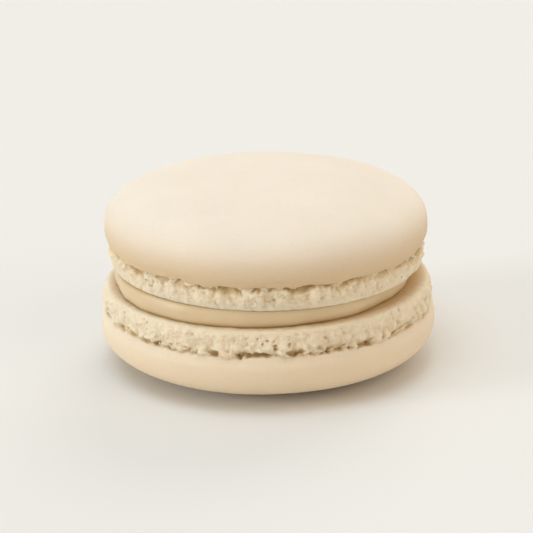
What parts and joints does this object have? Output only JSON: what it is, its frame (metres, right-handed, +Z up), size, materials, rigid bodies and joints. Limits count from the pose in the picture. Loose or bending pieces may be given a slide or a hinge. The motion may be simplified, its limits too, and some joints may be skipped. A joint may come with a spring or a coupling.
{
  "type": "french macaron",
  "caption": "Round sandwich biscuit: smooth domed almond shells with ruffled, pitted feet, held together by a soft cream filling.",
  "frame": {"origin": "middle of the small flat spot under the lower shell, which the macaron rests on", "axes": "+Z up through both shells, +X to the right as the picture shows it, where the shells lie a little closer together, and -Y towards the camera"},
  "size_m": [0.0461, 0.0461, 0.0255],
  "materials": {
    "almond_shell": "baked meringue in pale vanilla cream: an eggshell-smooth cap, and a crumbly, pitted foot",
    "cream_filling": "soft pale vanilla cream with a smooth satin edge"
  },
  "bodies": {
    "root": {"upper_shell": "almond_shell", "filling": "cream_filling", "lower_shell": "almond_shell"}
  },
  "joints": []
}
